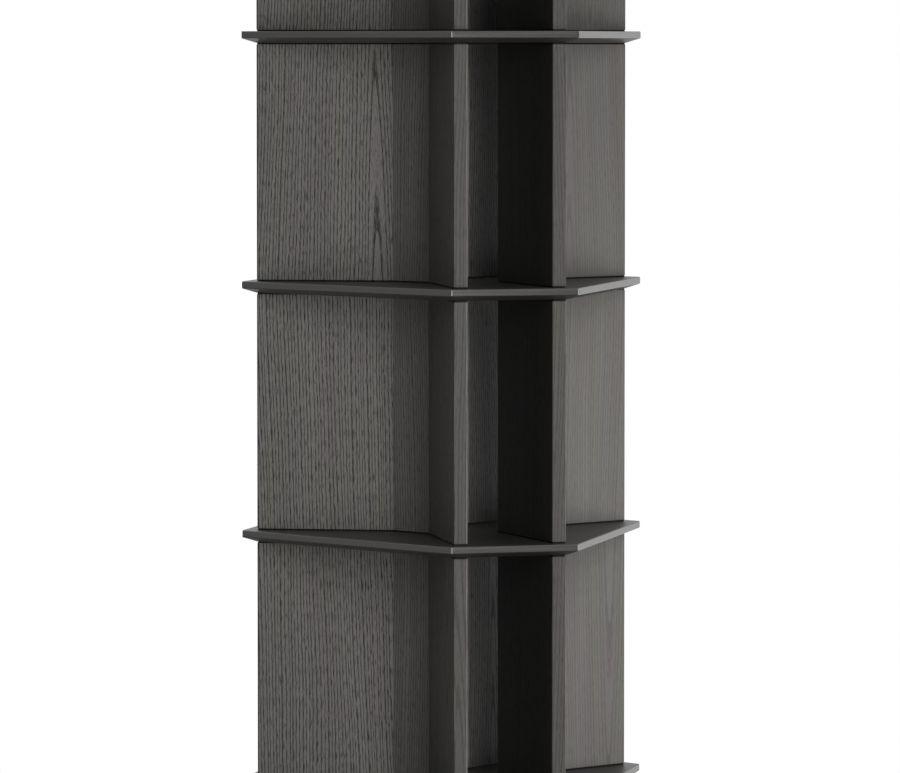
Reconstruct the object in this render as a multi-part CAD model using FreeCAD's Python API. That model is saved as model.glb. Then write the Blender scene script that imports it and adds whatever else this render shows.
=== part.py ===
import FreeCAD, Part
import math
import os

# Revolving column bookcase
# Millimetres, +Z up, origin on the floor at the swivel axis. The front faces -Y.
# In plan the column is a three-armed star: three slots between paired walls, and three
# niches between the slots. The plan repeats every 120 degrees about the axis.

# Shelf boards: hexagons with a short side at each slot and a long side at each niche
SLOT_SIDE_LENGTH = 180.0
NICHE_SIDE_LENGTH = 402.0
SHELF_THICKNESS = 16.0
SHELF_EDGE_HEIGHT = 9.4
SHELF_BEVEL_WIDTH = 19.3
SHELF_CORNER_RADIUS = 5.0
SHELF_ARRIS = 0.8

# Tiers of walls between the shelf boards
TIER_COUNT = 5
TIER_CLEAR_HEIGHT = 330.0
WALL_THICKNESS = 19.0
WALL_ARRIS = 1.5
NICHE_BACK_FROM_AXIS = 89.0
NICHE_BACK_WIDTH = 68.4

# Loose tongues that join the walls and the plinth to the shelf boards
TONGUE_THICKNESS = 6.0
TONGUE_WIDTH = 40.0
TONGUE_DEPTH_IN_WALL = 14.0
TONGUE_DEPTH_IN_SHELF = 10.0
TONGUE_FROM_WALL_FRONT = 60.0
TONGUE_SIDE_GAP = 0.1
TONGUE_END_GAP = 0.5

# Plinth under the lowest shelf board
PLINTH_HEIGHT = 48.0
PLINTH_SETBACK = 60.0
PLINTH_TONGUE_RADIUS = 150.0

# Base plate on the floor, with its spindle and felt
FELT_THICKNESS = 3.0
FELT_MARGIN = 5.0
BASE_DISC_RADIUS = 210.0
BASE_DISC_THICKNESS = 8.0
BASE_DISC_ARRIS = 1.5
SPINDLE_RADIUS = 10.0
SPINDLE_FIT = 0.08
SPINDLE_END_GAP = 2.0
BUSH_HEIGHT = 26.0
BUSH_WALL = 4.0
BUSH_SEAT_GAP = 0.05

# Swivel bearing: rollers in a cage between two flat races, each race let into its carrier
ROLLER_CIRCLE_RADIUS = 100.0
RACE_WIDTH = 32.0
RACE_THICKNESS = 3.0
RACE_RECESS = 1.0
RACE_SIDE_GAP = 0.1
ROLLER_COUNT = 9
ROLLER_RADIUS = 3.3
ROLLER_LENGTH = 18.0
ROLLER_SEAT_GAP = 0.1
ROLLER_RUNNING_GAP = 0.3
CAGE_THICKNESS = 4.0
CAGE_RIM = 4.0
CAGE_WINDOW_GAP = 0.3

# Levels worked out from the sizes above
DISC_BOTTOM = FELT_THICKNESS
DISC_TOP = DISC_BOTTOM + BASE_DISC_THICKNESS
LOWER_RACE_BOTTOM = DISC_TOP - RACE_RECESS
ROLLER_LEVEL = LOWER_RACE_BOTTOM + RACE_THICKNESS + ROLLER_SEAT_GAP + ROLLER_RADIUS
UPPER_RACE_BOTTOM = ROLLER_LEVEL + ROLLER_RADIUS + ROLLER_RUNNING_GAP
PLINTH_BOTTOM = UPPER_RACE_BOTTOM + RACE_THICKNESS - RACE_RECESS
PLINTH_TOP = PLINTH_BOTTOM + PLINTH_HEIGHT
TIER_PITCH = SHELF_THICKNESS + TIER_CLEAR_HEIGHT

# Directions in plan, in degrees from +X, and turns
FRONT_ANGLE = 270.0
RIGHT_NICHE_ANGLE = 330.0
THIRD_TURN_ANGLE = 120.0
QUARTER_TURN_ANGLE = 90.0
FULL_TURN_ANGLE = 360.0
THIRDS = (0, 1, 2)

# Points closer than this count as one when edges are picked
SAME_PLACE = 0.01

# Distances of the shelf's sides from the axis
SLOT_SIDE_FROM_AXIS = (SLOT_SIDE_LENGTH + 2 * NICHE_SIDE_LENGTH) / (2 * math.sqrt(3))
NICHE_SIDE_FROM_AXIS = (NICHE_SIDE_LENGTH + 2 * SLOT_SIDE_LENGTH) / (2 * math.sqrt(3))

AXIS = FreeCAD.Vector(0, 0, 0)
UP = FreeCAD.Vector(0, 0, 1)


def direction(degrees):
    """Unit vector in plan."""
    return FreeCAD.Vector(math.cos(math.radians(degrees)), math.sin(math.radians(degrees)), 0)


def meet(normal_a, distance_a, normal_b, distance_b):
    """Plan point on two lines, each given by its unit normal and its distance from the axis."""
    cross = normal_a.x * normal_b.y - normal_a.y * normal_b.x
    x = (distance_a * normal_b.y - distance_b * normal_a.y) / cross
    y = (normal_a.x * distance_b - normal_b.x * distance_a) / cross
    return FreeCAD.Vector(x, y, 0)


def shelf_corners(inset):
    """The six corners of the shelf outline, moved in from every side by the inset."""
    corners = []
    for third in THIRDS:
        slot = direction(FRONT_ANGLE + third * THIRD_TURN_ANGLE)
        niche = direction(RIGHT_NICHE_ANGLE + third * THIRD_TURN_ANGLE)
        next_slot = direction(FRONT_ANGLE + (third + 1) * THIRD_TURN_ANGLE)
        corners.append(meet(slot, SLOT_SIDE_FROM_AXIS - inset, niche, NICHE_SIDE_FROM_AXIS - inset))
        corners.append(meet(niche, NICHE_SIDE_FROM_AXIS - inset, next_slot, SLOT_SIDE_FROM_AXIS - inset))
    return corners


def outline(points, level):
    """Closed wire through plan points at one level."""
    raised = [FreeCAD.Vector(point.x, point.y, level) for point in points]
    return Part.makePolygon(raised + raised[:1])


def prism(points, bottom, height):
    """Upright solid on plan points."""
    return Part.Face(outline(points, bottom)).extrude(UP * height)


def edges_of(solid, chosen):
    """Edges of a solid for which the test holds."""
    return [edge for edge in solid.Edges if chosen(edge)]


def is_upright(edge):
    """True for an edge that runs along Z."""
    first = edge.Vertexes[0].Point
    last = edge.Vertexes[-1].Point
    shift = last - first
    return abs(shift.z) > SAME_PLACE and math.hypot(shift.x, shift.y) < SAME_PLACE


def at_level(level):
    """Test for edges that lie in one level plane."""
    def chosen(edge):
        box = edge.BoundBox
        return abs(box.ZMin - level) < SAME_PLACE and abs(box.ZMax - level) < SAME_PLACE
    return chosen


def turned(shape, third):
    """Copy of a shape, turned about the axis by a third of a turn or two."""
    copy = shape.copy()
    copy.rotate(AXIS, UP, third * THIRD_TURN_ANGLE)
    return copy


def mirrored(shape):
    """Copy of a shape on the other side of the front slot."""
    return shape.mirror(AXIS, FreeCAD.Vector(1, 0, 0))


def shelf_level(number):
    """Underside of shelf board 1, 2, 3 and so on."""
    return PLINTH_TOP + (number - 1) * TIER_PITCH


# Plan of one wall and one niche back
# The wall stands on the right of the front slot. Its front edge stands over the inner end of
# the bevel, and it leans in towards the slot until it meets the niche back in a mitre.
NICHE_OUTWARD = direction(RIGHT_NICHE_ANGLE)
NICHE_ALONG = direction(RIGHT_NICHE_ANGLE + QUARTER_TURN_ANGLE)
FRONT_EDGE_FROM_AXIS = SLOT_SIDE_FROM_AXIS - SHELF_BEVEL_WIDTH
OUTER_FRONT = shelf_corners(SHELF_BEVEL_WIDTH)[0]
OUTER_BACK = NICHE_OUTWARD * NICHE_BACK_FROM_AXIS - NICHE_ALONG * (NICHE_BACK_WIDTH / 2)
WALL_INWARD = (OUTER_BACK - OUTER_FRONT).normalize()
WALL_FACING = FreeCAD.Vector(WALL_INWARD.y, -WALL_INWARD.x, 0)
INNER_FACE_FROM_AXIS = WALL_FACING.dot(OUTER_FRONT) - WALL_THICKNESS
INNER_FRONT = meet(WALL_FACING, INNER_FACE_FROM_AXIS, direction(FRONT_ANGLE), FRONT_EDGE_FROM_AXIS)
INNER_BACK = meet(WALL_FACING, INNER_FACE_FROM_AXIS, NICHE_OUTWARD, NICHE_BACK_FROM_AXIS - WALL_THICKNESS)
WALL_PLAN = [OUTER_FRONT, OUTER_BACK, INNER_BACK, INNER_FRONT]


def across_niche(point):
    """Plan point on the other side of the right niche."""
    return point - NICHE_ALONG * (2 * NICHE_ALONG.dot(point))


NICHE_BACK_PLAN = [OUTER_BACK, across_niche(OUTER_BACK), across_niche(INNER_BACK), INNER_BACK]


def tongue_blank(centre, along, bottom, top, side_gap):
    """Upright flat bar: a tongue, or with a gap all round, the mortise that takes it."""
    half_width = along * (TONGUE_WIDTH / 2 + side_gap)
    half_thickness = FreeCAD.Vector(-along.y, along.x, 0) * (TONGUE_THICKNESS / 2 + side_gap)
    corners = [centre - half_width - half_thickness, centre + half_width - half_thickness,
               centre + half_width + half_thickness, centre - half_width + half_thickness]
    return prism(corners, bottom, top - bottom)


def tongue_places():
    """Centre and direction of each tongue in one third of the plan: two walls and a niche back."""
    middle = (OUTER_FRONT + INNER_FRONT) * 0.5 + WALL_INWARD * TONGUE_FROM_WALL_FRONT
    opposite = FreeCAD.Vector(-middle.x, middle.y, 0)
    opposite_along = FreeCAD.Vector(-WALL_INWARD.x, WALL_INWARD.y, 0)
    back = NICHE_OUTWARD * (NICHE_BACK_FROM_AXIS - WALL_THICKNESS / 2)
    return [(middle, WALL_INWARD), (opposite, opposite_along), (back, NICHE_ALONG)]


def plinth_tongue_place():
    """Centre and direction of the plinth's tongue under the front slot."""
    return (direction(FRONT_ANGLE) * PLINTH_TONGUE_RADIUS, direction(FRONT_ANGLE + QUARTER_TURN_ANGLE))


def in_thirds(places, bottom, top, side_gap):
    """Tongues or mortises at the places, in all three thirds of the plan."""
    solids = []
    for centre, along in places:
        blank = tongue_blank(centre, along, bottom, top, side_gap)
        solids.extend(turned(blank, third) for third in THIRDS)
    return solids


def board(plan, bottom, tongue_place):
    """Upright board of one tier, with a mortise in each end."""
    top = bottom + TIER_CLEAR_HEIGHT
    depth = TONGUE_DEPTH_IN_WALL + TONGUE_END_GAP
    solid = prism(plan, bottom, TIER_CLEAR_HEIGHT)
    centre, along = tongue_place
    lower = tongue_blank(centre, along, bottom, bottom + depth, TONGUE_SIDE_GAP)
    upper = tongue_blank(centre, along, top - depth, top, TONGUE_SIDE_GAP)
    return solid, [lower, upper]


def wall(bottom):
    """Right wall of the front slot, with the arrises of its front edge taken off."""
    solid, mortises = board(WALL_PLAN, bottom, tongue_places()[0])

    def on_front_edge(edge):
        return is_upright(edge) and abs(edge.CenterOfMass.y + FRONT_EDGE_FROM_AXIS) < SAME_PLACE

    return solid.makeChamfer(WALL_ARRIS, edges_of(solid, on_front_edge)).cut(mortises)


def niche_back(bottom):
    """Narrow back board of the right niche, mitred to the walls on both sides."""
    solid, mortises = board(NICHE_BACK_PLAN, bottom, tongue_places()[2])
    return solid.cut(mortises)


def shelf_blank(bottom):
    """Hexagonal board with rounded corners, an upright edge and a wide bevel under it."""
    top = bottom + SHELF_THICKNESS
    edge_foot = top - SHELF_EDGE_HEIGHT
    sharp = shelf_corners(0)
    upper = prism(sharp, edge_foot, SHELF_EDGE_HEIGHT)
    profiles = [outline(shelf_corners(SHELF_BEVEL_WIDTH), bottom), outline(sharp, edge_foot)]
    bevelled = upper.fuse(Part.makeLoft(profiles, True, True)).removeSplitter()
    rounded = prism(sharp, bottom, SHELF_THICKNESS)
    rounded = rounded.makeFillet(SHELF_CORNER_RADIUS, edges_of(rounded, is_upright))
    blank = bevelled.common(rounded)
    return blank.makeChamfer(SHELF_ARRIS, edges_of(blank, at_level(top)))


def shelf(number):
    """Shelf board with mortises: right through, or blind in the lowest and highest boards."""
    bottom = shelf_level(number)
    top = bottom + SHELF_THICKNESS
    depth = TONGUE_DEPTH_IN_SHELF + TONGUE_END_GAP
    from_below = number > 1
    from_above = number <= TIER_COUNT
    mortise_bottom = bottom if from_below else top - depth
    mortise_top = top if from_above else bottom + depth
    mortises = in_thirds(tongue_places(), mortise_bottom, mortise_top, TONGUE_SIDE_GAP)
    if not from_below:
        mortises += in_thirds([plinth_tongue_place()], bottom, bottom + depth, TONGUE_SIDE_GAP)
    return shelf_blank(bottom).cut(mortises)


def tongues():
    """All the loose tongues, at every shelf board and between the plinth and the lowest board."""
    solids = []
    for number in range(1, TIER_COUNT + 2):
        bottom = shelf_level(number)
        top = bottom + SHELF_THICKNESS
        low = bottom - TONGUE_DEPTH_IN_WALL if number > 1 else top - TONGUE_DEPTH_IN_SHELF
        high = top + TONGUE_DEPTH_IN_WALL if number <= TIER_COUNT else bottom + TONGUE_DEPTH_IN_SHELF
        solids += in_thirds(tongue_places(), low, high, 0)
    low = PLINTH_TOP - TONGUE_DEPTH_IN_WALL
    high = PLINTH_TOP + TONGUE_DEPTH_IN_SHELF
    solids += in_thirds([plinth_tongue_place()], low, high, 0)
    return Part.makeCompound(solids)


def cylinder(radius, bottom, height):
    """Upright cylinder on the axis."""
    return Part.makeCylinder(radius, height, FreeCAD.Vector(0, 0, bottom))


def ring(inner_radius, outer_radius, bottom, height):
    """Flat ring round the axis."""
    return cylinder(outer_radius, bottom, height).cut(cylinder(inner_radius, bottom, height))


def band(width, bottom, height):
    """Flat ring of some width, centred on the circle of the rollers."""
    return ring(ROLLER_CIRCLE_RADIUS - width / 2, ROLLER_CIRCLE_RADIUS + width / 2, bottom, height)


def race(bottom):
    """Flat steel ring that the rollers run on."""
    return band(RACE_WIDTH, bottom, RACE_THICKNESS)


def race_recess(bottom):
    """Shallow groove that centres a race on its carrier."""
    return band(RACE_WIDTH + 2 * RACE_SIDE_GAP, bottom, RACE_RECESS)


def round_the_axis(shape):
    """One copy of a shape for each roller."""
    copies = []
    for count in range(ROLLER_COUNT):
        copy = shape.copy()
        copy.rotate(AXIS, UP, count * FULL_TURN_ANGLE / ROLLER_COUNT)
        copies.append(copy)
    return copies


def rollers():
    """The ring of loose rollers, each lying on a radius."""
    start = FreeCAD.Vector(ROLLER_CIRCLE_RADIUS - ROLLER_LENGTH / 2, 0, ROLLER_LEVEL)
    roller = Part.makeCylinder(ROLLER_RADIUS, ROLLER_LENGTH, start, direction(0))
    return Part.makeCompound(round_the_axis(roller))


def cage():
    """Flat ring with a window for each roller."""
    bottom = ROLLER_LEVEL - CAGE_THICKNESS / 2
    window_length = ROLLER_LENGTH + 2 * CAGE_WINDOW_GAP
    window_width = 2 * (ROLLER_RADIUS + CAGE_WINDOW_GAP)
    corner = FreeCAD.Vector(ROLLER_CIRCLE_RADIUS - window_length / 2, -window_width / 2, bottom)
    window = Part.makeBox(window_length, window_width, CAGE_THICKNESS, corner)
    return band(ROLLER_LENGTH + 2 * CAGE_RIM, bottom, CAGE_THICKNESS).cut(round_the_axis(window))


def base_disc():
    """Round steel plate with a recess for the lower race and the spindle standing on it."""
    disc = cylinder(BASE_DISC_RADIUS, DISC_BOTTOM, BASE_DISC_THICKNESS)
    disc = disc.makeChamfer(BASE_DISC_ARRIS, edges_of(disc, at_level(DISC_TOP)))
    spindle = cylinder(SPINDLE_RADIUS, DISC_TOP, PLINTH_BOTTOM + BUSH_HEIGHT - DISC_TOP)
    return disc.cut(race_recess(LOWER_RACE_BOTTOM)).fuse(spindle)


def felt():
    """Thin felt sheet under the base disc."""
    return cylinder(BASE_DISC_RADIUS - FELT_MARGIN, 0, FELT_THICKNESS)


def spindle_bush():
    """Bush in the plinth that turns on the spindle."""
    bore = SPINDLE_RADIUS + SPINDLE_FIT
    return ring(bore, bore + BUSH_WALL, PLINTH_BOTTOM, BUSH_HEIGHT)


def plinth():
    """Hexagonal block under the lowest shelf board, bored for the bush and recessed for the race."""
    block = prism(shelf_corners(PLINTH_SETBACK), PLINTH_BOTTOM, PLINTH_HEIGHT)
    bore_radius = SPINDLE_RADIUS + SPINDLE_FIT + BUSH_WALL + BUSH_SEAT_GAP
    bore = cylinder(bore_radius, PLINTH_BOTTOM, BUSH_HEIGHT + SPINDLE_END_GAP)
    mortise_foot = PLINTH_TOP - TONGUE_DEPTH_IN_WALL - TONGUE_END_GAP
    mortises = in_thirds([plinth_tongue_place()], mortise_foot, PLINTH_TOP, TONGUE_SIDE_GAP)
    return block.cut(mortises + [bore, race_recess(PLINTH_BOTTOM)])


# The two boards on the right of the front slot, and their copies round the star.
# Each name goes with a third of a turn, and says whether the copy is mirrored.
WALL_COPIES = [("front_wall_right", 0, False), ("front_wall_left", 0, True),
               ("right_wall_rear", 1, False), ("right_wall_front", 1, True),
               ("left_wall_front", 2, False), ("left_wall_rear", 2, True)]
NICHE_BACK_COPIES = [("niche_back_right", 0), ("niche_back_rear", 1), ("niche_back_left", 2)]


def tier(number):
    """Named boards of one tier."""
    bottom = shelf_level(number) + SHELF_THICKNESS
    right_wall = wall(bottom)
    left_wall = mirrored(right_wall)
    back = niche_back(bottom)
    boards = {}
    for name, third, is_mirrored in WALL_COPIES:
        boards[f"tier{number}_{name}"] = turned(left_wall if is_mirrored else right_wall, third)
    for name, third in NICHE_BACK_COPIES:
        boards[f"tier{number}_{name}"] = turned(back, third)
    return boards


def build():
    """Every piece of the bookcase by name."""
    pieces = {
        "floor_felt": felt(),
        "base_disc": base_disc(),
        "bearing_lower_race": race(LOWER_RACE_BOTTOM),
        "bearing_rollers": rollers(),
        "bearing_cage": cage(),
        "bearing_upper_race": race(UPPER_RACE_BOTTOM),
        "spindle_bush": spindle_bush(),
        "plinth": plinth(),
        "loose_tongues": tongues(),
    }
    for number in range(1, TIER_COUNT + 2):
        pieces[f"shelf_{number}"] = shelf(number)
    for number in range(1, TIER_COUNT + 1):
        pieces.update(tier(number))
    return pieces


os.makedirs("parts", exist_ok=True)
for node, shape in build().items():
    shape.exportStep(f"parts/{node}.step")
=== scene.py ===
"""Revolving column bookcase: stained oak boards between lacquered shelf boards, on a swivel base."""

import logging
import math
import random
from collections.abc import Callable, Mapping, Sequence
from dataclasses import dataclass, field
from enum import Enum

import bmesh
import bpy
from bmesh.types import BMesh, BMEdge, BMFace, BMVert
from mathutils import Matrix, Vector

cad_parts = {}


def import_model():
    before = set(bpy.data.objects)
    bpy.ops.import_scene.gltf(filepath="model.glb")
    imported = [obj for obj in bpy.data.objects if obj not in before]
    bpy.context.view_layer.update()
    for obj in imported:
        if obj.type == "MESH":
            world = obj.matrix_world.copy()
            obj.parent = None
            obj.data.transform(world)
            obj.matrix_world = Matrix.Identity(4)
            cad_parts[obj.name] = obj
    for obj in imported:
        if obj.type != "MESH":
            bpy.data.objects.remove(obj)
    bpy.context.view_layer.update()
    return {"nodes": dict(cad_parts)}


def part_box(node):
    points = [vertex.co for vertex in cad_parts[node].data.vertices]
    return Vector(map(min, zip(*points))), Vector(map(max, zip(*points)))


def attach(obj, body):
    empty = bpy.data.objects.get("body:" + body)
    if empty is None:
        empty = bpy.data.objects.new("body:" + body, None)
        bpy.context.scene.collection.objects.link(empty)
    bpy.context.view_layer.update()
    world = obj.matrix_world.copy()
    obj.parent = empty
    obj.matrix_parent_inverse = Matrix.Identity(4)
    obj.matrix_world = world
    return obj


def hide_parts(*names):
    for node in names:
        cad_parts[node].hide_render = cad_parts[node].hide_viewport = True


LOG = logging.getLogger("bookcase")

MM = 0.001
TIERS = 5
# Degrees from one third of the plan to the next.
THIRD_TURN = 120.0

# Names of the UV map and of the face attributes that the materials read.
GRAIN_MAP = "grain"
# The tone attribute scales the colour to paint shade (below 1) and highlights (above 1) on faces.
PAINTED_LIGHT = "tone"
FIGURE = "figure_strength"
RUBBED = "rubbed_edge"

# Noise seldom leaves this band, so the materials stretch the band to the full range.
NOISE_LOW = 0.35
NOISE_HIGH = 0.65

# Limits for the upright part of a unit normal: that of a level face is above the first, that of a
# face that lies rather than stands above the second, that of the arris round a top above the third,
# and that of an upright face below the last.
LEVEL = 0.99
LYING = 0.7
ARRIS_RISE = 0.2
UPRIGHT = 0.01
# Cosine above which a face points in the direction asked for.
FACING = 0.8
# Distance in metres within which a corner counts as lying at a level.
NEAR = 1e-5

ARRIS_SEGMENTS = 3
CORNER_SEGMENTS = 6
# Degrees between two faces above which their edge stays sharp. It is over the 45 of a chamfer.
SHARP_ANGLE = 46.0


class Slot(Enum):
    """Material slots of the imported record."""

    VENEER = "oak_veneer_board"
    LACQUER = "lacquered_shelf_board"


class Third(Enum):
    """The three like parts of the plan, as thirds of a turn from the front slot."""

    FRONT = 0
    RIGHT = 1
    LEFT = 2


# Colour and nodes


def linear(hex_colour: str) -> tuple[float, float, float, float]:
    """Turns an sRGB hex colour to linear.

    Args:
        hex_colour: Six hex digits, with or without a leading #.

    Returns:
        Linear red, green and blue, and an alpha of 1.
    """
    digits = hex_colour.lstrip("#")
    shares = [int(digits[i:i + 2], 16) / 255 for i in (0, 2, 4)]
    red, green, blue = (s / 12.92 if s <= 0.04045 else ((s + 0.055) / 1.055) ** 2.4 for s in shares)
    return red, green, blue, 1.0


def add_node(tree: bpy.types.NodeTree, kind: str, inputs: Mapping[str | int, object] | None = None,
             **settings: object) -> bpy.types.Node:
    """Adds one node with its settings, input values and links.

    Args:
        tree: Node tree that gets the node.
        kind: Blender's type name of the node.
        inputs: Input name or number, with a value or the output socket that feeds it.
        **settings: Attributes of the node.

    Returns:
        The new node.
    """
    node = tree.nodes.new(kind)
    for name, value in settings.items():
        setattr(node, name, value)
    for key, value in (inputs or {}).items():
        if isinstance(value, bpy.types.NodeSocket):
            tree.links.new(value, node.inputs[key])
        else:
            node.inputs[key].default_value = value
    return node


def new_material(name: str) -> tuple[bpy.types.Material, bpy.types.NodeTree]:
    """Makes an empty node material.

    Args:
        name: Name of the real material.

    Returns:
        The material and its emptied node tree.
    """
    material = bpy.data.materials.new(name)
    material.use_nodes = True
    material.node_tree.nodes.clear()
    return material, material.node_tree


def close_material(tree: bpy.types.NodeTree, shader: bpy.types.Node) -> None:
    """Links a shader to the material's output.

    Args:
        tree: Node tree of the material.
        shader: Node whose first output is the surface.
    """
    add_node(tree, "ShaderNodeOutputMaterial", {"Surface": shader.outputs[0]})


# Finishes


@dataclass(frozen=True)
class OakVeneer:
    """Sliced oak veneer, open-pored, stained black-brown under a matt lacquer.

    The stain sinks into the pores, so dark dashes run along the growth rings, and the late wood
    between them keeps a greyer tone. The matt lacquer gives a soft, wide sheen.
    """

    name: str = "Oak veneer, open-pored, stained black-brown, matt lacquer"
    cool_wood: str = "#72706f"
    olive_wood: str = "#70706a"
    warm_wood: str = "#6a6565"
    early_wood: str = "#625f5e"
    pore: str = "#1d1c1b"
    warm_share: float = 0.6
    olive_share: float = 1.0
    # Streaks of warm and olive stain to a metre, across the rings and along the grain.
    streaks_per_m: tuple[float, float] = (55.0, 2.2)
    # Slow bends of the grain to a metre, across it and along it.
    bends_per_m: tuple[float, float] = (7.0, 1.7)
    wander_mm: float = 9.0
    ring_mm: float = 4.6
    # Changes of ring width to a metre.
    uneven_per_m: float = 90.0
    # Shares of a ring between which its early wood fades out.
    early_wood_fade: tuple[float, float] = (0.1, 0.5)
    # Real pores are a quarter of a millimetre wide. They are drawn in groups of this width,
    # because a single one wouldn't show in the render.
    pore_width_mm: float = 0.7
    pore_length_mm: float = 15.0
    pore_raggedness: float = 0.6
    # Noise levels between which wood turns to pore, and how far early wood lifts the noise.
    pore_levels: tuple[float, float] = (0.56, 0.7)
    pore_crowding: float = 0.22
    pith_depth_mm: float = 9.0
    taper: float = 0.03
    roughness: float = 0.5
    pore_roughness: float = 0.58
    pore_depth_mm: float = 0.16
    relief_strength: float = 0.6
    specular: float = 0.05

    def make(self) -> bpy.types.Material:
        """Builds the material.

        Returns:
            The veneer, which reads the grain map in metres.
        """
        material, tree = new_material(self.name)
        grain = add_node(tree, "ShaderNodeUVMap", uv_map=GRAIN_MAP)
        axes = add_node(tree, "ShaderNodeSeparateXYZ", {0: grain.outputs[0]})
        across, along = axes.outputs[0], axes.outputs[1]
        bent = self.sway(tree, grain.outputs[0], across)
        age = self.growth(tree, bent, along)
        figure = add_node(tree, "ShaderNodeAttribute", attribute_name=FIGURE).outputs["Fac"]
        pores, rings = self.pores(tree, bent, age, along, figure)
        warm, olive = self.streaks(tree, age, along)

        late_wood = add_node(tree, "ShaderNodeMix", {0: olive, 6: linear(self.cool_wood),
                                                     7: linear(self.olive_wood)}, data_type="RGBA")
        wood = add_node(tree, "ShaderNodeMix", {0: rings, 6: late_wood.outputs[2],
                                                7: linear(self.early_wood)}, data_type="RGBA")
        warmed = add_node(tree, "ShaderNodeMix", {0: warm, 6: wood.outputs[2], 7: linear(self.warm_wood)},
                          data_type="RGBA")
        stained = add_node(tree, "ShaderNodeMix", {0: pores, 6: warmed.outputs[2], 7: linear(self.pore)},
                           data_type="RGBA")
        # Painted light: the tone attribute darkens slot, core, front and gap faces and lightens some arrises.
        depth = add_node(tree, "ShaderNodeAttribute", attribute_name=PAINTED_LIGHT)
        toned = add_node(tree, "ShaderNodeVectorMath", {0: stained.outputs[2], "Scale": depth.outputs["Fac"]},
                         operation="SCALE")
        dullness = add_node(tree, "ShaderNodeMapRange",
                            {0: pores, 3: self.roughness, 4: self.pore_roughness})
        relief = add_node(tree, "ShaderNodeBump", {"Strength": self.relief_strength,
                                                   "Distance": self.pore_depth_mm * MM,
                                                   "Height": pores}, invert=True)
        shader = add_node(tree, "ShaderNodeBsdfPrincipled", {
            "Base Color": toned.outputs[0], "Roughness": dullness.outputs[0], "Normal": relief.outputs[0],
            "Specular IOR Level": self.specular})
        close_material(tree, shader)
        return material

    def sway(self, tree: bpy.types.NodeTree, grain: bpy.types.NodeSocket,
             across: bpy.types.NodeSocket) -> bpy.types.NodeSocket:
        """Bends the grain lines a little from side to side.

        Args:
            tree: Node tree of the material.
            grain: The grain map.
            across: Metres across the grain.

        Returns:
            Metres across the bent grain.
        """
        stretched = add_node(tree, "ShaderNodeMapping", {"Vector": grain, "Scale": (*self.bends_per_m, 1.0)})
        sway = add_node(tree, "ShaderNodeTexNoise", {"Vector": stretched.outputs[0], "Scale": 1.0,
                                                     "Detail": 2.0}, noise_dimensions="2D")
        shift = add_node(tree, "ShaderNodeMapRange", {0: sway.outputs[0], 3: -self.wander_mm * MM,
                                                      4: self.wander_mm * MM})
        return add_node(tree, "ShaderNodeMath", {0: across, 1: shift.outputs[0]}, operation="ADD").outputs[0]

    def growth(self, tree: bpy.types.NodeTree, bent: bpy.types.NodeSocket,
               along: bpy.types.NodeSocket) -> bpy.types.NodeSocket:
        """Works out how far each point lies from the pith, which the rings follow.

        Args:
            tree: Node tree of the material.
            bent: Metres across the bent grain.
            along: Metres along the grain.

        Returns:
            Distance from the pith in metres: arches at mid board, and straight lines beside them.
        """
        squared = add_node(tree, "ShaderNodeMath", {0: bent, 1: bent, 2: (self.pith_depth_mm * MM) ** 2},
                           operation="MULTIPLY_ADD")
        radius = add_node(tree, "ShaderNodeMath", {0: squared.outputs[0]}, operation="SQRT")
        age = add_node(tree, "ShaderNodeMath", {0: along, 1: self.taper, 2: radius.outputs[0]},
                       operation="MULTIPLY_ADD")
        return age.outputs[0]

    def pores(self, tree: bpy.types.NodeTree, bent: bpy.types.NodeSocket, age: bpy.types.NodeSocket,
              along: bpy.types.NodeSocket,
              figure: bpy.types.NodeSocket) -> tuple[bpy.types.NodeSocket, bpy.types.NodeSocket]:
        """Draws the pores as dashes, most of them in the early wood of each ring.

        Args:
            tree: Node tree of the material.
            bent: Metres across the bent grain.
            age: Distance from the pith in metres.
            along: Metres along the grain.
            figure: Strength of the figure, from 0 to 1.

        Returns:
            Share of stain-filled pore, and share of early wood.
        """
        uneven = add_node(tree, "ShaderNodeTexNoise", {"W": age, "Scale": self.uneven_per_m, "Detail": 1.0},
                          noise_dimensions="1D")
        phase = add_node(tree, "ShaderNodeMath", {0: age, 1: 1 / (self.ring_mm * MM), 2: uneven.outputs[0]},
                         operation="MULTIPLY_ADD")
        saw = add_node(tree, "ShaderNodeMath", {0: phase.outputs[0]}, operation="FRACT")
        fade_start, fade_end = self.early_wood_fade
        early = add_node(tree, "ShaderNodeMapRange",
                         {0: saw.outputs[0], 1: fade_start, 2: fade_end, 3: 1.0, 4: 0.0},
                         interpolation_type="SMOOTHSTEP")
        side, run = (add_node(tree, "ShaderNodeMath", {0: distance, 1: 1 / (size_mm * MM)},
                              operation="MULTIPLY")
                     for distance, size_mm in ((bent, self.pore_width_mm), (along, self.pore_length_mm)))
        place = add_node(tree, "ShaderNodeCombineXYZ", {0: side.outputs[0], 1: run.outputs[0]})
        dashes = add_node(tree, "ShaderNodeTexNoise", {"Vector": place.outputs[0], "Scale": 1.0,
                                                       "Detail": 2.0, "Roughness": self.pore_raggedness},
                          noise_dimensions="2D")
        crowd = add_node(tree, "ShaderNodeMath", {0: early.outputs[0], 1: self.pore_crowding,
                                                  2: dashes.outputs[0]}, operation="MULTIPLY_ADD")
        wood_level, pore_level = self.pore_levels
        pore = add_node(tree, "ShaderNodeMapRange", {0: crowd.outputs[0], 1: wood_level, 2: pore_level},
                        interpolation_type="SMOOTHSTEP")
        marked, banded = (add_node(tree, "ShaderNodeMath", {0: share.outputs[0], 1: figure},
                                   operation="MULTIPLY") for share in (pore, early))
        return marked.outputs[0], banded.outputs[0]

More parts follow.
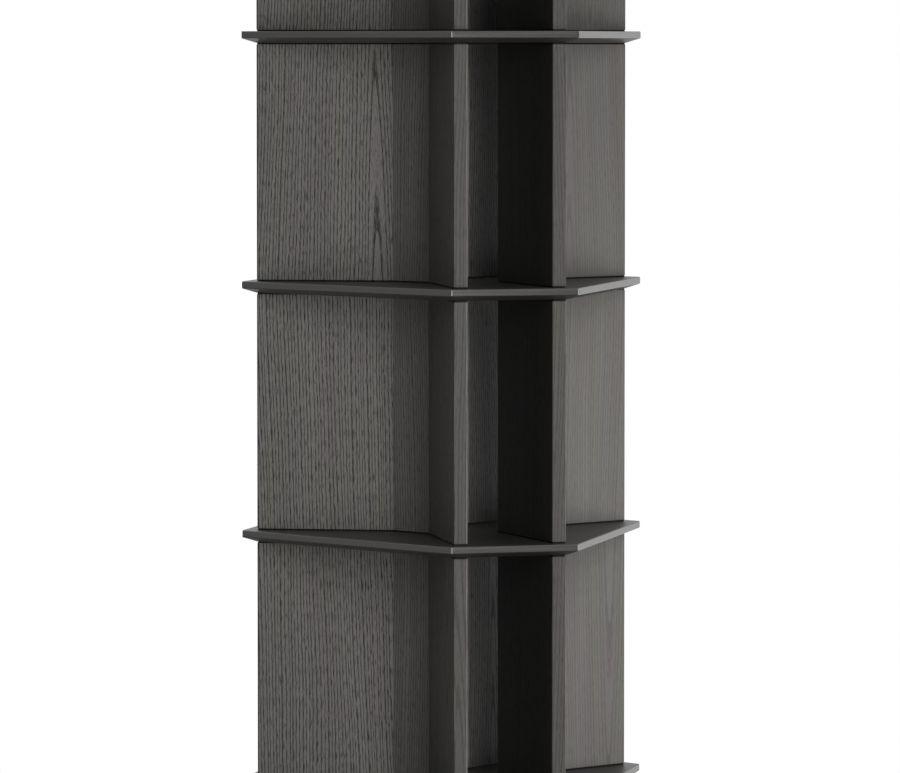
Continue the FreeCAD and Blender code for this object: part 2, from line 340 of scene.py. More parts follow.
    def streaks(self, tree: bpy.types.NodeTree, age: bpy.types.NodeSocket,
                along: bpy.types.NodeSocket) -> tuple[bpy.types.NodeSocket, bpy.types.NodeSocket]:
        """Draws the wide, faint streaks in which the stain turned out warmer or greener.

        Args:
            tree: Node tree of the material.
            age: Distance from the pith in metres.
            along: Metres along the grain.

        Returns:
            Share of the warm tone, and share of the olive tone.
        """
        side, run = (add_node(tree, "ShaderNodeMath", {0: distance, 1: count}, operation="MULTIPLY")
                     for distance, count in zip((age, along), self.streaks_per_m))
        place = add_node(tree, "ShaderNodeCombineXYZ", {0: side.outputs[0], 1: run.outputs[0]})
        cloud = add_node(tree, "ShaderNodeTexNoise", {"Vector": place.outputs[0], "Scale": 1.0,
                                                      "Detail": 3.0}, noise_dimensions="2D")
        tints = add_node(tree, "ShaderNodeSeparateColor", {0: cloud.outputs["Color"]})
        warm, olive = (add_node(tree, "ShaderNodeMapRange", {0: tints.outputs[channel], 1: NOISE_LOW,
                                                             2: NOISE_HIGH, 3: 0.0, 4: most})
                       for channel, most in enumerate((self.warm_share, self.olive_share)))
        return warm.outputs[0], olive.outputs[0]


@dataclass(frozen=True)
class SatinLacquer:
    """Fibreboard under a dark lacquer, matt from the spray and rubbed to a satin along its edges.

    It gives dull, dark tops, darker still from painted shade, a painted highlight on the arris round each
    top, edges with a clear sheen, and faint streaks that run along each edge.
    """

    name: str = "Fibreboard, dark satin lacquer"
    colour: str = "#242321"
    streak_colour: str = "#2f2d2b"
    matt_roughness: float = 0.42
    rubbed_roughness: float = 0.18
    streak_roughness: float = 0.05
    specular: float = 0.5
    streak_width_mm: float = 1.6
    streak_length_mm: float = 160.0

    def make(self) -> bpy.types.Material:
        """Builds the material.

        Returns:
            The lacquer, which reads the grain map in metres.
        """
        material, tree = new_material(self.name)
        grain = add_node(tree, "ShaderNodeUVMap", uv_map=GRAIN_MAP)
        scale = (1 / (self.streak_length_mm * MM), 1 / (self.streak_width_mm * MM), 1.0)
        stretched = add_node(tree, "ShaderNodeMapping", {"Vector": grain.outputs[0], "Scale": scale})
        streaks = add_node(tree, "ShaderNodeTexNoise", {"Vector": stretched.outputs[0], "Scale": 1.0,
                                                        "Detail": 3.0}, noise_dimensions="2D")
        share = add_node(tree, "ShaderNodeMapRange", {0: streaks.outputs[0], 1: NOISE_LOW, 2: NOISE_HIGH})
        tint = add_node(tree, "ShaderNodeMix", {0: share.outputs[0], 6: linear(self.colour),
                                                7: linear(self.streak_colour)}, data_type="RGBA")
        rubbed = add_node(tree, "ShaderNodeAttribute", attribute_name=RUBBED)
        polish = add_node(tree, "ShaderNodeMapRange", {0: rubbed.outputs["Fac"], 3: self.matt_roughness,
                                                       4: self.rubbed_roughness})
        dullness = add_node(tree, "ShaderNodeMath", {0: share.outputs[0], 1: self.streak_roughness,
                                                     2: polish.outputs[0]}, operation="MULTIPLY_ADD")
        # Painted light: the tone attribute darkens the tops and lightens the arris round each top.
        depth = add_node(tree, "ShaderNodeAttribute", attribute_name=PAINTED_LIGHT)
        toned = add_node(tree, "ShaderNodeVectorMath", {0: tint.outputs[2], "Scale": depth.outputs["Fac"]},
                         operation="SCALE")
        shader = add_node(tree, "ShaderNodeBsdfPrincipled", {
            "Base Color": toned.outputs[0], "Roughness": dullness.outputs[0],
            "Specular IOR Level": self.specular})
        close_material(tree, shader)
        return material


@dataclass(frozen=True)
class SolidFinish:
    """A finish with one fine grain through it, on Object coordinates."""

    name: str
    colour: str
    second_colour: str
    grit_mm: float
    roughness: float
    roughness_spread: float = 0.08
    relief_mm: float = 0.02
    relief_strength: float = 0.5
    metallic: float = 0.0
    stretch: tuple[float, float, float] = (1.0, 1.0, 1.0)
    sheen: float = 0.0

    def make(self) -> bpy.types.Material:
        """Builds the material.

        Returns:
            The finish, with its grain in the colour, the roughness and the relief.
        """
        material, tree = new_material(self.name)
        where = add_node(tree, "ShaderNodeTexCoord")
        stretched = add_node(tree, "ShaderNodeMapping", {"Vector": where.outputs["Object"],
                                                         "Scale": self.stretch})
        grit = add_node(tree, "ShaderNodeTexNoise", {"Vector": stretched.outputs[0],
                                                     "Scale": 1 / (self.grit_mm * MM), "Detail": 3.0})
        share = add_node(tree, "ShaderNodeMapRange", {0: grit.outputs[0], 1: NOISE_LOW, 2: NOISE_HIGH})
        tint = add_node(tree, "ShaderNodeMix", {0: share.outputs[0], 6: linear(self.colour),
                                                7: linear(self.second_colour)}, data_type="RGBA")
        dullest = min(1.0, self.roughness + self.roughness_spread)
        dullness = add_node(tree, "ShaderNodeMapRange", {0: share.outputs[0], 3: self.roughness, 4: dullest})
        relief = add_node(tree, "ShaderNodeBump", {"Strength": self.relief_strength,
                                                   "Distance": self.relief_mm * MM,
                                                   "Height": grit.outputs[0]})
        shader = add_node(tree, "ShaderNodeBsdfPrincipled", {
            "Base Color": tint.outputs[2], "Roughness": dullness.outputs[0], "Metallic": self.metallic,
            "Normal": relief.outputs[0], "Sheen Weight": self.sheen})
        close_material(tree, shader)
        return material


# Plain beech: pale straw-brown with short flecks along the grain.
BEECH = SolidFinish("Beech, planed", "#c9a27a", "#b88e66", grit_mm=2.0, roughness=0.55,
                    stretch=(1.0, 1.0, 0.1))
# Polyester powder coat on steel plate: an even, very fine orange peel.
POWDER_COAT = SolidFinish("Steel plate, black powder coat", "#2a2827", "#343130", grit_mm=0.9, roughness=0.5,
                          relief_mm=0.06)
# Hardened and ground ring steel: bright, with fine turning marks.
RACE_STEEL = SolidFinish("Hardened steel, ground", "#b9babd", "#a3a4a8", grit_mm=0.5, roughness=0.25,
                         relief_mm=0.003, metallic=1.0)
# Moulded nylon: milky and slightly soft to the eye.
NYLON = SolidFinish("Nylon, moulded", "#d9d6cc", "#cfcbc0", grit_mm=1.5, roughness=0.42)
# Needled wool felt: dark and fuzzy.
WOOL_FELT = SolidFinish("Wool felt, needled", "#3a3938", "#2b2a29", grit_mm=0.6, roughness=0.95,
                        relief_mm=0.3, sheen=0.4)
# The same lacquer as on the shelf boards, sprayed over a block: dark, dull and even.
BLOCK_LACQUER = SolidFinish("Fibreboard block, dark satin lacquer", "#242321", "#2f2d2b", grit_mm=3.0,
                            roughness=0.4)


# Plan of the column


def direction(degrees: float) -> Vector:
    """Unit vector in plan, at an angle from +X."""
    return Vector((math.cos(math.radians(degrees)), math.sin(math.radians(degrees)), 0.0))


def meet(normal_a: Vector, distance_a: float, normal_b: Vector, distance_b: float) -> Vector:
    """Finds where two lines in plan cross.

    Args:
        normal_a: Unit normal of the first line.
        distance_a: Distance of the first line from the axis.
        normal_b: Unit normal of the second line.
        distance_b: Distance of the second line from the axis.

    Returns:
        The plan point on both lines.
    """
    cross = normal_a.x * normal_b.y - normal_a.y * normal_b.x
    x = (distance_a * normal_b.y - distance_b * normal_a.y) / cross
    y = (normal_a.x * distance_b - normal_b.x * distance_a) / cross
    return Vector((x, y, 0.0))


@dataclass(frozen=True)
class StarPlan:
    """Plan of the column: a hexagonal outline with a three-armed star of walls inside it."""

    slot_side: float = 0.180
    niche_side: float = 0.402
    bevel_width: float = 0.0193
    wall_thickness: float = 0.019
    niche_back_distance: float = 0.089
    niche_back_width: float = 0.0684
    front_angle: float = 270.0
    niche_angle: float = 330.0

    @property
    def slot_distance(self) -> float:
        """Distance of a slot side from the axis."""
        return (self.slot_side + 2 * self.niche_side) / (2 * math.sqrt(3))

    @property
    def niche_distance(self) -> float:
        """Distance of a niche side from the axis."""
        return (self.niche_side + 2 * self.slot_side) / (2 * math.sqrt(3))

    @property
    def front_edge_distance(self) -> float:
        """Distance of the walls' front edges from the axis."""
        return self.slot_distance - self.bevel_width

    def hexagon(self, inset: float = 0.0) -> list[Vector]:
        """Gives the outline of a shelf board.

        Args:
            inset: Distance by which every side moves in.

        Returns:
            Six plan points, anticlockwise.
        """
        points = []
        for third in Third:
            turn = third.value * THIRD_TURN
            slot = direction(self.front_angle + turn)
            niche = direction(self.niche_angle + turn)
            next_slot = direction(self.front_angle + turn + THIRD_TURN)
            points.append(meet(slot, self.slot_distance - inset, niche, self.niche_distance - inset))
            points.append(meet(niche, self.niche_distance - inset, next_slot, self.slot_distance - inset))
        return points

    def wall(self) -> list[Vector]:
        """Gives the plan of the right wall of the front slot.

        Returns:
            Outer front, outer back, inner back and inner front corner.
        """
        outward = direction(self.niche_angle)
        sideways = direction(self.niche_angle + 90)
        outer_front = self.hexagon(self.bevel_width)[0]
        outer_back = outward * self.niche_back_distance - sideways * (self.niche_back_width / 2)
        inward = (outer_back - outer_front).normalized()
        facing = Vector((inward.y, -inward.x, 0.0))
        inner_distance = facing.dot(outer_front) - self.wall_thickness
        inner_front = meet(facing, inner_distance, direction(self.front_angle), self.front_edge_distance)
        inner_back = meet(facing, inner_distance, outward, self.niche_back_distance - self.wall_thickness)
        return [outer_front, outer_back, inner_back, inner_front]

    def niche_back(self) -> list[Vector]:
        """Gives the plan of the back board of the right niche.

        Returns:
            The two outer corners, then the two inner ones.
        """
        _, outer, inner, _ = self.wall()
        sideways = direction(self.niche_angle + 90)
        outer_across = outer - sideways * (2 * sideways.dot(outer))
        inner_across = inner - sideways * (2 * sideways.dot(inner))
        return [outer, outer_across, inner_across, inner]


# Mesh steps


def prism(corners: Sequence[Vector], bottom: float, top: float) -> BMesh:
    """Raises an upright solid on plan points.

    Args:
        corners: Plan points in order.
        bottom: Lower level in metres.
        top: Upper level in metres.

    Returns:
        A closed mesh with outward faces.
    """
    bm = bmesh.new()
    foot = bm.faces.new([bm.verts.new((corner.x, corner.y, bottom)) for corner in corners])
    grown = bmesh.ops.extrude_face_region(bm, geom=[foot])
    raised = [item for item in grown["geom"] if isinstance(item, BMVert)]
    bmesh.ops.translate(bm, verts=raised, vec=(0.0, 0.0, top - bottom))
    bmesh.ops.recalc_face_normals(bm, faces=bm.faces[:])
    return bm


def end_face(bm: BMesh, upward: bool) -> BMFace:
    """Finds the highest or lowest level face.

    Args:
        bm: Mesh to look in.
        upward: True for the highest face, False for the lowest.

    Returns:
        The face.
    """
    sign = 1.0 if upward else -1.0
    level = [face for face in bm.faces if face.normal.z * sign > LEVEL]
    return max(level, key=lambda face: face.calc_center_median().z * sign)


def chosen_edges(bm: BMesh, test: Callable[[BMEdge], bool]) -> list[BMEdge]:
    """Edges for which the test holds."""
    return [edge for edge in bm.edges if test(edge)]


def is_upright(edge: BMEdge) -> bool:
    """True for an edge that runs along Z."""
    run = edge.verts[1].co - edge.verts[0].co
    return abs(run.z) > LEVEL * run.length


def round_edges(bm: BMesh, edges: Sequence[BMEdge], width: float, segments: int) -> None:
    """Rounds edges.

    Args:
        bm: Mesh that holds the edges.
        edges: Edges to round.
        width: Width taken off each side.
        segments: Faces across the rounding.
    """
    bmesh.ops.bevel(bm, geom=list(edges), offset=width, offset_type="OFFSET", affect="EDGES",
                    segments=segments, profile=0.5, material=-1, clamp_overlap=True)


def rebate_end(bm: BMesh, upward: bool, depth: float, height: float) -> None:
    """Carries an end face on as a narrower step, which leaves a shadow gap round the board.

    Args:
        bm: Mesh of the board.
        upward: True for the upper end.
        depth: How far the step stands back.
        height: How far the step goes on.
    """
    end = end_face(bm, upward)
    bmesh.ops.inset_region(bm, faces=[end], thickness=depth, use_even_offset=True)
    grown = bmesh.ops.extrude_face_region(bm, geom=[end])
    moved = [item for item in grown["geom"] if isinstance(item, BMVert)]
    bmesh.ops.translate(bm, verts=moved, vec=(0.0, 0.0, height if upward else -height))
    bmesh.ops.delete(bm, geom=[end], context="FACES_ONLY")


def turn_round_axis(bm: BMesh, third: Third, mirrored: bool = False) -> None:
    """Brings a board of the front slot to its own place in the star.

    Args:
        bm: Mesh of the board.
        third: Third of a turn that it goes through.
        mirrored: True to take it to the other side of the slot first.
    """
    if mirrored:
        bmesh.ops.scale(bm, vec=(-1.0, 1.0, 1.0), verts=bm.verts[:])
        bmesh.ops.recalc_face_normals(bm, faces=bm.faces[:])
    turn = Matrix.Rotation(math.radians(THIRD_TURN * third.value), 3, "Z")
    bmesh.ops.rotate(bm, cent=(0.0, 0.0, 0.0), matrix=turn, verts=bm.verts[:])


def map_grain_upright(bm: BMesh, middle: Vector, across_shift: float, along_shift: float,
                      flip: bool) -> None:
    """Lays the grain map on a board whose grain stands upright.

    Args:
        bm: Mesh of the board.
        middle: Plan point at mid board, where the arches of the figure stand.
        across_shift: Metres by which the figure moves sideways.
        along_shift: Metres by which it moves along the log.
        flip: True to turn the figure upside down.
    """
    layer = bm.loops.layers.uv.new(GRAIN_MAP)
    sign = -1.0 if flip else 1.0
    for face in bm.faces:
        normal = face.normal
        level = abs(normal.z) > LYING
        tangent = Vector((1.0, 0.0, 0.0)) if level else Vector((-normal.y, normal.x, 0.0)).normalized()
        for loop in face.loops:
            place = loop.vert.co
            across = (place - middle).dot(tangent) + across_shift
            along = place.y if level else place.z
            loop[layer].uv = (across, sign * along + along_shift)


def paint_light_and_figure(bm: BMesh, figure: float, painted_light_and_figure: Sequence[tuple[Vector, float, float]]) -> None:
    """Writes the shade or highlight painted on each face of a board, and how strong its figure is.

    Args:
        bm: Mesh of the board.
        figure: Strength of the figure on the faces that no direction names.
        painted_light_and_figure: Directions in plan, each with the tone and the figure of the faces that
            point that way.
    """
    tone_layer = bm.faces.layers.float.new(PAINTED_LIGHT)
    figure_layer = bm.faces.layers.float.new(FIGURE)
    for face in bm.faces:
        face[tone_layer], face[figure_layer] = next(
            ((tone, strength) for way, tone, strength in painted_light_and_figure if face.normal.dot(way) > FACING),
            (1.0, figure))


def rub_edges_and_paint_light(bm: BMesh, top_painted_shade: float, arris_painted_highlight: float) -> None:
    """Writes which faces of a shelf board were rubbed down, and the shade or highlight painted on each.

    Args:
        bm: Mesh of the board.
        top_painted_shade: Painted shade on the top.
        arris_painted_highlight: Painted highlight on the arris round the top.
    """
    rubbed_layer = bm.faces.layers.float.new(RUBBED)
    tone_layer = bm.faces.layers.float.new(PAINTED_LIGHT)
    for face in bm.faces:
        rise = face.normal.z
        face[rubbed_layer] = 1.0 if abs(rise) < LYING else 0.0
        face[tone_layer] = 1.0
        # Painted shade on the top, painted highlight on the arris round it.
        if rise > LEVEL:
            face[tone_layer] = top_painted_shade
        elif rise > ARRIS_RISE:
            face[tone_layer] = arris_painted_highlight


def map_grain_lengthwise(bm: BMesh) -> None:
    """Lays the grain map on a shelf board: along each edge, and along X on the level faces.

    Args:
        bm: Mesh of the board.
    """
    layer = bm.loops.layers.uv.new(GRAIN_MAP)
    for face in bm.faces:
        normal = face.normal
        level = abs(normal.z) > LEVEL
        tangent = Vector((1.0, 0.0, 0.0)) if level else Vector((-normal.y, normal.x, 0.0)).normalized()
        upward = normal.cross(tangent)
        for loop in face.loops:
            loop[layer].uv = (loop.vert.co.dot(tangent), loop.vert.co.dot(upward))


def place_piece(name: str, bm: BMesh, material: bpy.types.Material,
                nodes: Sequence[str]) -> None:
    """Turns a mesh into a piece that rides on the tower in place of CAD nodes.

    Args:
        name: Name of the piece.
        bm: Its mesh, which is freed.
        material: Its finish.
        nodes: CAD nodes that it stands for.
    """
    mesh = bpy.data.meshes.new(name)
    bm.to_mesh(mesh)
    bm.free()
    mesh.materials.append(material)
    mesh.shade_smooth()
    mesh.set_sharp_from_angle(angle=math.radians(SHARP_ANGLE))
    piece = bpy.data.objects.new(name, mesh)
    bpy.context.scene.collection.objects.link(piece)
    shading = piece.modifiers.new("even_shading", "WEIGHTED_NORMAL")
    shading.keep_sharp = True
    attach(piece, "tower")
    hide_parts(*nodes)
    LOG.info("%s: %d faces, stands for %s", name, len(mesh.polygons), ", ".join(nodes))


# Sub-assemblies


@dataclass(frozen=True)
class BoardPlace:
    """Where one upright board of the star stands, its figure, and the shade and highlight painted on it."""

    name: str
    third: Third
    figure: float
    # Painted shade on the face inside the slot.
    slot_painted_shade: float = 1.0
    mirrored: bool = False
    # Painted shade below 1, painted highlight above 1, on the front arris at the outer face and at the slot.
    outer_arris_painted_light: float = 1.0
    slot_arris_painted_light: float = 0.56


@dataclass
class WallTier:
    """The nine upright boards between two shelf boards."""

    number: int
    plan: StarPlan
    arris: float = 0.002
    gap_depth: float = 0.0008
    gap_height: float = 0.0022
    # Painted shade in the shadow gaps at both ends of each board.
    gap_painted_shade: float = 0.06
    # Faces whose middle lies within this many gap heights of a shelf board belong to the gap.
    gap_reach: float = 1.5
    figure_drift: float = 0.14
    log_step: float = 3.1
    # The draws of this seed put the arches of the figure about where the photo has them.
    seed: int = 38768
    # Painted shade on the front edges, and on the faces towards the core.
    front_painted_shade: float = 0.56
    front_figure: float = 0.35
    core_painted_shade: float = 0.4
    # Per board: figure, painted shade inside the slot, and painted shade or highlight on the front arrises.
    walls: tuple[BoardPlace, ...] = (
        BoardPlace("front_wall_right", Third.FRONT, figure=0.65, slot_painted_shade=0.2, outer_arris_painted_light=1.3),
        BoardPlace("front_wall_left", Third.FRONT, figure=0.65, slot_painted_shade=0.4, mirrored=True,
                   slot_arris_painted_light=1.1),
        BoardPlace("right_wall_rear", Third.RIGHT, figure=0.8, slot_painted_shade=0.6, outer_arris_painted_light=0.4),
        BoardPlace("right_wall_front", Third.RIGHT, figure=0.25, slot_painted_shade=0.4, mirrored=True,
                   outer_arris_painted_light=0.7),
        BoardPlace("left_wall_front", Third.LEFT, figure=0.8, slot_painted_shade=0.8, outer_arris_painted_light=0.12),
        BoardPlace("left_wall_rear", Third.LEFT, figure=0.7, slot_painted_shade=0.8, mirrored=True,
                   outer_arris_painted_light=0.4))
    niche_backs: tuple[BoardPlace, ...] = (
        BoardPlace("niche_back_right", Third.FRONT, figure=0.5),
        BoardPlace("niche_back_rear", Third.RIGHT, figure=0.5),
        BoardPlace("niche_back_left", Third.LEFT, figure=0.5))

    def build(self, veneer: bpy.types.Material) -> None:
        """Builds the boards.

        Args:
            veneer: Finish of all nine.
        """
        draw = random.Random(self.seed + self.number)
        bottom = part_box(f"shelf_{self.number}")[1].z
        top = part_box(f"shelf_{self.number + 1}")[0].z
        boards = [(wall, self.wall) for wall in self.walls]
        boards += [(niche_back, self.niche_back) for niche_back in self.niche_backs]
        for count, (place, make) in enumerate(boards):
            bm = make(bottom, top)
            paint_light_and_figure(bm, place.figure, self.painted_light_and_figure(place))
            self.paint_gap_shade(bm, bottom, top)
            turn_round_axis(bm, place.third, place.mirrored)
            middle = sum((vert.co for vert in bm.verts), Vector()) / len(bm.verts)
            drift = draw.uniform(-self.figure_drift, self.figure_drift)
            step = (self.number * len(boards) + count) * self.log_step
            map_grain_upright(bm, middle, drift, step, flip=draw.random() < 0.5)
            node = f"tier{self.number}_{place.name}"
            place_piece(f"veneered_{node}", bm, veneer, [node])

    def painted_light_and_figure(self, place: BoardPlace) -> list[tuple[Vector, float, float]]:
        """Gives the shade and highlight painted on the faces that differ from the outer ones.

        Args:
            place: The board.

        Returns:
            Directions of the arris at the slot, the front edge, the slot face, the core face and the
            outer front arris, each with its painted tone and the strength of its figure.
        """
        outer_front, outer_back, _, _ = self.plan.wall()
        inward = (outer_back - outer_front).normalized()
        slot_face = Vector((-inward.y, inward.x, 0.0))
        core_face = -direction(self.plan.niche_angle)
        front = direction(self.plan.front_angle)
        slot_arris = (front + slot_face).normalized()
        outer_arris = (front - slot_face).normalized()
        return [(slot_arris, place.slot_arris_painted_light, self.front_figure),
                (front, self.front_painted_shade, self.front_figure),
                (slot_face, place.slot_painted_shade, place.figure),
                (core_face, self.core_painted_shade, place.figure),
                (outer_arris, place.outer_arris_painted_light, place.figure)]

    def paint_gap_shade(self, bm: BMesh, bottom: float, top: float) -> None:
        """Paints shade into the shadow gaps: gives their faces a near-black tone.

        Args:
            bm: Mesh of a board.
            bottom: Top of the shelf board below.
            top: Underside of the shelf board above.
        """
        layer = bm.faces.layers.float[PAINTED_LIGHT]
        for face in bm.faces:
            level = face.calc_center_median().z
            if min(level - bottom, top - level) < self.gap_reach * self.gap_height:
                face[layer] = self.gap_painted_shade

    def rebated(self, bm: BMesh) -> BMesh:
        """Adds the shadow gaps at both ends of a board.

        Args:
            bm: Mesh of the board.

        Returns:
            The same mesh.
        """
        for upward in (False, True):
            rebate_end(bm, upward, self.gap_depth, self.gap_height)
        return bm

    def wall(self, bottom: float, top: float) -> BMesh:
        """Makes the right wall of the front slot, with its two front arrises rounded.

        Args:
            bottom: Top of the shelf board below.
            top: Underside of the shelf board above.

        Returns:
            The wall's mesh.
        """
        bm = prism(self.plan.wall(), bottom + self.gap_height, top - self.gap_height)
        front = -self.plan.front_edge_distance + MM
        edges = chosen_edges(bm, lambda edge: is_upright(edge) and edge.verts[0].co.y < front)
        round_edges(bm, edges, self.arris, ARRIS_SEGMENTS)
        return self.rebated(bm)

    def niche_back(self, bottom: float, top: float) -> BMesh:
        """Makes the back board of the right niche, mitred on both sides.

        Args:
            bottom: Top of the shelf board below.
            top: Underside of the shelf board above.

        Returns:
            The board's mesh.
        """
        return self.rebated(prism(self.plan.niche_back(), bottom + self.gap_height, top - self.gap_height))


@dataclass
class ShelfBoard:
    """One hexagonal shelf board: an upright edge with a wide bevel under it."""

    number: int
    plan: StarPlan
    edge_height: float = 0.0094
    corner_radius: float = 0.005
    top_arris: float = 0.0016
    foot_arris: float = 0.001
    # Painted shade on the top and painted highlight on the arris round it.
    top_painted_shade: float = 0.7
    top_arris_painted_highlight: float = 2.0

    def build(self, lacquer: bpy.types.Material) -> None:
        """Builds the board.

        Args:
            lacquer: Its finish.
        """
        node = f"shelf_{self.number}"
        low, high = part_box(node)
        edge_foot = high.z - self.edge_height
        bm = prism(self.plan.hexagon(), edge_foot, high.z)
        under = end_face(bm, upward=False)
        bmesh.ops.inset_region(bm, faces=[under], thickness=self.plan.bevel_width, use_even_offset=True)
        bmesh.ops.translate(bm, verts=under.verts[:], vec=(0.0, 0.0, low.z - edge_foot))
        # On a corner of 120 degrees this width gives the corner its radius.
        corner_width = self.corner_radius * math.tan(math.radians(30.0))
        round_edges(bm, chosen_edges(bm, is_upright), corner_width, CORNER_SEGMENTS)
        for level, width in ((high.z, self.top_arris), (edge_foot, self.foot_arris)):
            rim = chosen_edges(bm, self.rim_test(level))
            round_edges(bm, rim, width, ARRIS_SEGMENTS)
        map_grain_lengthwise(bm)
        rub_edges_and_paint_light(bm, self.top_painted_shade, self.top_arris_painted_highlight)
        place_piece(f"lacquered_{node}", bm, lacquer, [node])

    def rim_test(self, level: float) -> Callable[[BMEdge], bool]:
        """Makes the test for the board's rim.

        Args:
            level: Height of the rim.

        Returns:
            A test that holds for edges on the rim at that height.
        """
        def on_rim(edge: BMEdge) -> bool:
            """True for an edge of an upright face at the level."""
            flat = all(abs(vert.co.z - level) < NEAR for vert in edge.verts)
            return flat and any(abs(face.normal.z) < UPRIGHT for face in edge.link_faces)
        return on_rim


@dataclass
class SwivelBase:
    """The pieces under the lowest shelf board, which keep their CAD shapes."""

    finishes: Mapping[str, SolidFinish] = field(default_factory=lambda: {
        "floor_felt": WOOL_FELT, "base_disc": POWDER_COAT, "bearing_lower_race": RACE_STEEL,
        "bearing_upper_race": RACE_STEEL, "bearing_rollers": RACE_STEEL, "bearing_cage": NYLON,
        "spindle_bush": NYLON, "loose_tongues": BEECH, "plinth": BLOCK_LACQUER})

    def dress(self, nodes: Mapping[str, bpy.types.Object]) -> None:
        """Gives each CAD node its finish.

        Args:
            nodes: The frame's nodes by name.
        """
        made: dict[str, bpy.types.Material] = {}
        for name, finish in self.finishes.items():
            if finish.name not in made:
                made[finish.name] = finish.make()
            mesh = nodes[name].data
            mesh.materials.clear()
            mesh.materials.append(made[finish.name])
            LOG.info("%s: %s", name, finish.name)


# Studio


@dataclass(frozen=True)
class SoftBox:
    """A studio lamp behind a grid, which keeps its light off the floor. The camera doesn't see it."""

    name: str
    location: tuple[float, float, float]
    target: tuple[float, float, float]
    size: tuple[float, float]
    spread: float
    power: float

    def build(self) -> None:
        """Places the lamp."""
        lamp = bpy.data.lights.new(self.name, "AREA")
        lamp.shape = "RECTANGLE"
        lamp.size, lamp.size_y = self.size
        lamp.spread = math.radians(self.spread)
        lamp.energy = self.power
        holder = bpy.data.objects.new(self.name, lamp)
        bpy.context.scene.collection.objects.link(holder)
        holder.location = self.location
        aim = Vector(self.target) - Vector(self.location)
        holder.rotation_euler = aim.to_track_quat("-Z", "Y").to_euler()
        holder.visible_camera = False


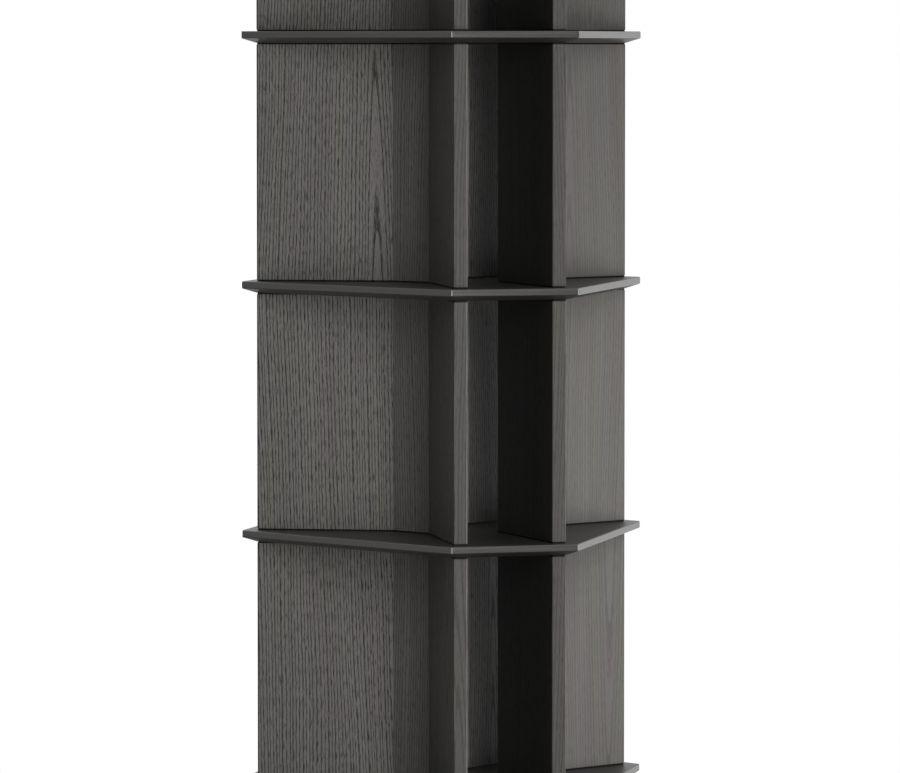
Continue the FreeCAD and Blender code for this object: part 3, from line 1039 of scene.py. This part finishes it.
@dataclass
class Studio:
    """Plain floor, white surroundings and soft lamps."""

    floor_radius: float = 2.7
    floor_segments: int = 96
    floor_fade_start: float = 0.7
    floor_fade_end: float = 1.9
    floor_lift: float = 0.45
    floor_colour: str = "#e9e7e4"
    fill: float = 0.04
    lamps: tuple[SoftBox, ...] = (
        SoftBox("front", location=(-0.084, -2.399, 1.2), target=(0.0, 0.0, 1.0), size=(0.8, 2.0),
                spread=100.0, power=19.0),
        SoftBox("low_right", location=(1.495, -0.118, 0.66), target=(0.0, 0.0, 0.82), size=(1.0, 1.0),
                spread=62.0, power=2.3),
        SoftBox("rear", location=(-0.9, 2.55, 1.2), target=(0.0, 0.0, 1.0), size=(1.4, 2.0),
                spread=100.0, power=20.0))

    def build(self) -> None:
        """Places the floor, the surroundings and the lamps."""
        self.add_floor()
        self.add_surroundings()
        for lamp in self.lamps:
            lamp.build()
        bpy.context.scene.view_settings.view_transform = "Standard"

    def add_floor(self) -> None:
        """Adds a round pale floor that fades into the background at its rim."""
        bm = bmesh.new()
        bmesh.ops.create_circle(bm, cap_ends=True, segments=self.floor_segments, radius=self.floor_radius)
        mesh = bpy.data.meshes.new("floor")
        bm.to_mesh(mesh)
        bm.free()
        floor = bpy.data.objects.new("floor", mesh)
        bpy.context.scene.collection.objects.link(floor)
        material, tree = new_material("Floor, matt pale paint")
        where = add_node(tree, "ShaderNodeTexCoord")
        reach = add_node(tree, "ShaderNodeVectorMath", {0: where.outputs["Object"]}, operation="LENGTH")
        fade = add_node(tree, "ShaderNodeMapRange", {0: reach.outputs["Value"], 1: self.floor_fade_start,
                                                     2: self.floor_fade_end, 3: self.floor_lift},
                        interpolation_type="SMOOTHSTEP")
        rays = add_node(tree, "ShaderNodeLightPath")
        share = add_node(tree, "ShaderNodeMath", {0: fade.outputs[0], 1: rays.outputs["Is Camera Ray"]},
                         operation="MULTIPLY")
        paint = add_node(tree, "ShaderNodeBsdfDiffuse", {"Color": linear(self.floor_colour)})
        clear = add_node(tree, "ShaderNodeBsdfTransparent")
        close_material(tree, add_node(tree, "ShaderNodeMixShader", {0: share.outputs[0], 1: paint.outputs[0],
                                                                    2: clear.outputs[0]}))
        mesh.materials.append(material)

    def add_surroundings(self) -> None:
        """Adds white surroundings for the camera and reflections, and a softer fill for the rest."""
        world = bpy.data.worlds.new("surroundings")
        bpy.context.scene.world = world
        world.use_nodes = True
        tree = world.node_tree
        tree.nodes.clear()
        rays = add_node(tree, "ShaderNodeLightPath")
        shown = add_node(tree, "ShaderNodeMath", {0: rays.outputs["Is Camera Ray"],
                                                  1: rays.outputs["Is Glossy Ray"]}, operation="MAXIMUM")
        seen = add_node(tree, "ShaderNodeMath", {0: shown.outputs[0],
                                                 1: rays.outputs["Is Transmission Ray"]}, operation="MAXIMUM")
        soft = add_node(tree, "ShaderNodeBackground", {"Color": linear("#ffffff"), "Strength": self.fill})
        white = add_node(tree, "ShaderNodeBackground", {"Color": linear("#ffffff"), "Strength": 1.0})
        mixed = add_node(tree, "ShaderNodeMixShader", {0: seen.outputs[0], 1: soft.outputs[0],
                                                       2: white.outputs[0]})
        add_node(tree, "ShaderNodeOutputWorld", {"Surface": mixed.outputs[0]})


@dataclass
class PhotoCamera:
    """Long-lens camera, level with the fifth shelf board and left of the front."""

    location: tuple[float, float, float] = (-2.2784, -7.8311, 1.4524)
    yaw: float = 16.168
    pitch: float = -3.337
    lens: float = 235.0
    clip_end: float = 100.0

    def build(self) -> None:
        """Places the camera."""
        data = bpy.data.cameras.new("camera")
        data.lens = self.lens
        data.clip_end = self.clip_end
        camera = bpy.data.objects.new("camera", data)
        bpy.context.scene.collection.objects.link(camera)
        yaw, pitch = math.radians(self.yaw), math.radians(self.pitch)
        ahead = Vector((math.sin(yaw) * math.cos(pitch), math.cos(yaw) * math.cos(pitch), math.sin(pitch)))
        camera.location = self.location
        camera.rotation_euler = ahead.to_track_quat("-Z", "Y").to_euler()
        bpy.context.scene.camera = camera


def main() -> None:
    """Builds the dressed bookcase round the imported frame."""
    logging.basicConfig(level=logging.INFO, format="%(message)s")
    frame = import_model()
    plan = StarPlan()
    veneer = OakVeneer().make()
    lacquer = SatinLacquer().make()
    for number in range(1, TIERS + 1):
        WallTier(number, plan).build(veneer)
    for number in range(1, TIERS + 2):
        ShelfBoard(number, plan).build(lacquer)
    SwivelBase().dress(frame["nodes"])
    Studio().build()
    PhotoCamera().build()


if __name__ == "__main__":
    main()
